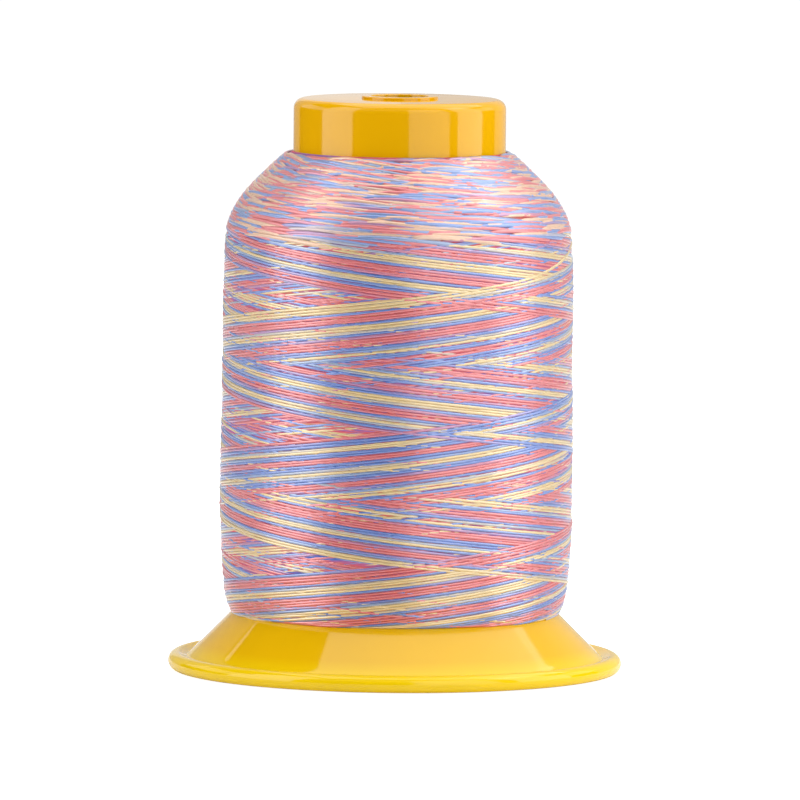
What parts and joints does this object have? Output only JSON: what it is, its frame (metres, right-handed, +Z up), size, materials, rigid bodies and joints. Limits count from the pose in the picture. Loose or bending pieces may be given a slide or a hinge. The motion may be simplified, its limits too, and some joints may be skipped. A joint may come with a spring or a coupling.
{
  "type": "spool of woolly serger thread",
  "caption": "Flared-base plastic spool, hollow and open underneath with a pin hole in its top, wound with soft variegated overlock thread.",
  "frame": {"origin": "centre of the brim's underside, in the plane on which the spool stands", "axes": "+Z up along the spool's axis; the spool is round about it, so +X and +Y are free"},
  "size_m": [0.0672, 0.0672, 0.085],
  "materials": {
    "spool_plastic": "smooth glossy moulded yellow plastic",
    "thread": "soft matt textured thread, variegated in coral, periwinkle blue and cream"
  },
  "bodies": {
    "root": {"spool_body": "spool_plastic", "thread_winding": "thread"}
  },
  "joints": []
}
